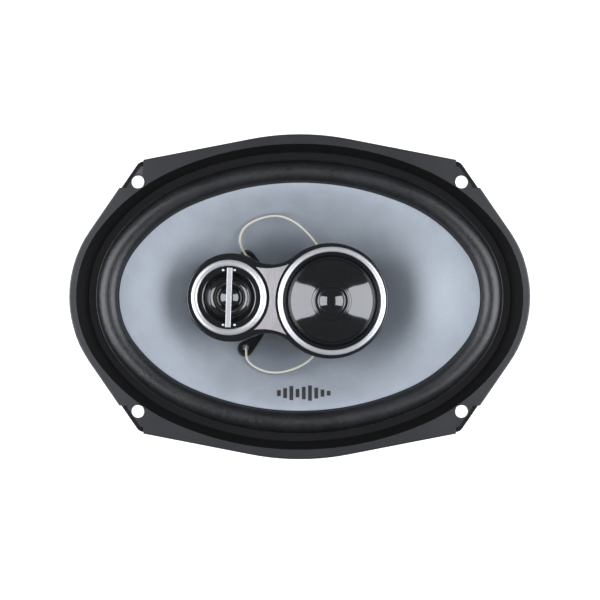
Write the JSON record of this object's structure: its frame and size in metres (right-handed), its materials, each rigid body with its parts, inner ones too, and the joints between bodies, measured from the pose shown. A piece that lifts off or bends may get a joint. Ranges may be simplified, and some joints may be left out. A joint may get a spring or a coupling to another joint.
{
  "type": "coaxial car speaker",
  "caption": "Oval coaxial car speaker with a silver cone, rubber surround, stamped basket and a bridge pod that carries a tweeter and a midrange driver.",
  "frame": {"origin": "centre of the four mounting screws, on the speaker's axis, in the flange's rear face (the mounting plane)", "axes": "+Z out of the speaker towards the listener, +X along its long side, +Y across it"},
  "size_m": [0.235, 0.1658, 0.0959],
  "materials": {
    "painted_steel": "satin black powder coat on stamped steel",
    "surround_foam": "matt textured foam rubber",
    "spider_cloth": "resin-treated woven cotton",
    "cone_silver": "blue-grey silver brushed polymer cone",
    "cone_print": "dark grey screen print",
    "former_film": "amber film voice-coil former",
    "copper_wire": "enamelled copper winding",
    "plated_steel": "zinc-plated steel",
    "ferrite": "ground ferrite",
    "pod_black": "black satin-gloss moulded plastic",
    "post_black": "black moulded plastic",
    "silver_trim": "satin silver trim",
    "brushed_plate": "brushed silver plate",
    "gloss_black": "gloss black film and moulding",
    "pad_black": "black glue-filled pad",
    "nickel": "nickel-plated magnet",
    "capacitor_sleeve": "dark blue shrink sleeve",
    "board_brown": "phenolic board",
    "tinned_brass": "tinned brass",
    "braid": "braided tinsel lead"
  },
  "bodies": {
    "frame": {"basket": "painted_steel", "surround": "surround_foam", "spider": "spider_cloth", "top_plate": "plated_steel", "magnet": "ferrite", "yoke": "plated_steel", "basket_rivets": "plated_steel", "post": "post_black", "post_bolt": "plated_steel", "pod_housing": "pod_black", "pod_lid": "post_black", "pod_screws": "plated_steel", "centre_plate": "brushed_plate", "tweeter_ring": "silver_trim", "tweeter_face": "gloss_black", "tweeter_bar": "silver_trim", "tweeter_cup": "plated_steel", "tweeter_magnet": "nickel", "tweeter_pole_disc": "plated_steel", "midrange_ring": "silver_trim", "midrange_frame": "gloss_black", "midrange_surround": "surround_foam", "midrange_cup": "plated_steel", "midrange_magnet": "nickel", "midrange_pole_disc": "plated_steel", "tweeter_capacitor": "capacitor_sleeve", "midrange_capacitor": "capacitor_sleeve", "terminal_board": "board_brown", "terminal_positive": "tinned_brass", "terminal_negative": "tinned_brass", "terminal_rivets": "tinned_brass", "front_lead_top": "braid", "front_lead_bottom": "braid", "rear_lead_positive": "braid", "rear_lead_negative": "braid"},
    "woofer_cone": {"cone": "cone_silver", "cone_mark": "cone_print", "lead_pad_top": "pad_black", "lead_pad_bottom": "pad_black", "cone_eyelets": "tinned_brass", "voice_coil_former": "former_film", "voice_coil_winding": "copper_wire"},
    "midrange_diaphragm": {"midrange_cone": "gloss_black", "midrange_dust_cap": "gloss_black", "midrange_coil": "copper_wire"},
    "tweeter_diaphragm": {"tweeter_dome": "gloss_black", "tweeter_coil": "copper_wire"}
  },
  "joints": [
    {"name": "cone_travel", "type": "slide", "parent": "frame", "child": "woofer_cone", "axis": [0, 0, 1], "range_m": [-0.005, 0.005], "stiffness_N_per_m": 3500, "deforming": ["surround", "spider", "front_lead_top", "front_lead_bottom", "rear_lead_positive", "rear_lead_negative"]},
    {"name": "midrange_travel", "type": "slide", "parent": "frame", "child": "midrange_diaphragm", "axis": [0, 0, 1], "range_m": [-0.0008, 0.0008], "stiffness_N_per_m": 2500, "deforming": ["midrange_surround"]},
    {"name": "tweeter_travel", "type": "slide", "parent": "frame", "child": "tweeter_diaphragm", "axis": [0, 0, 1], "range_m": [-0.0003, 0.0003], "stiffness_N_per_m": 2500}
  ]
}
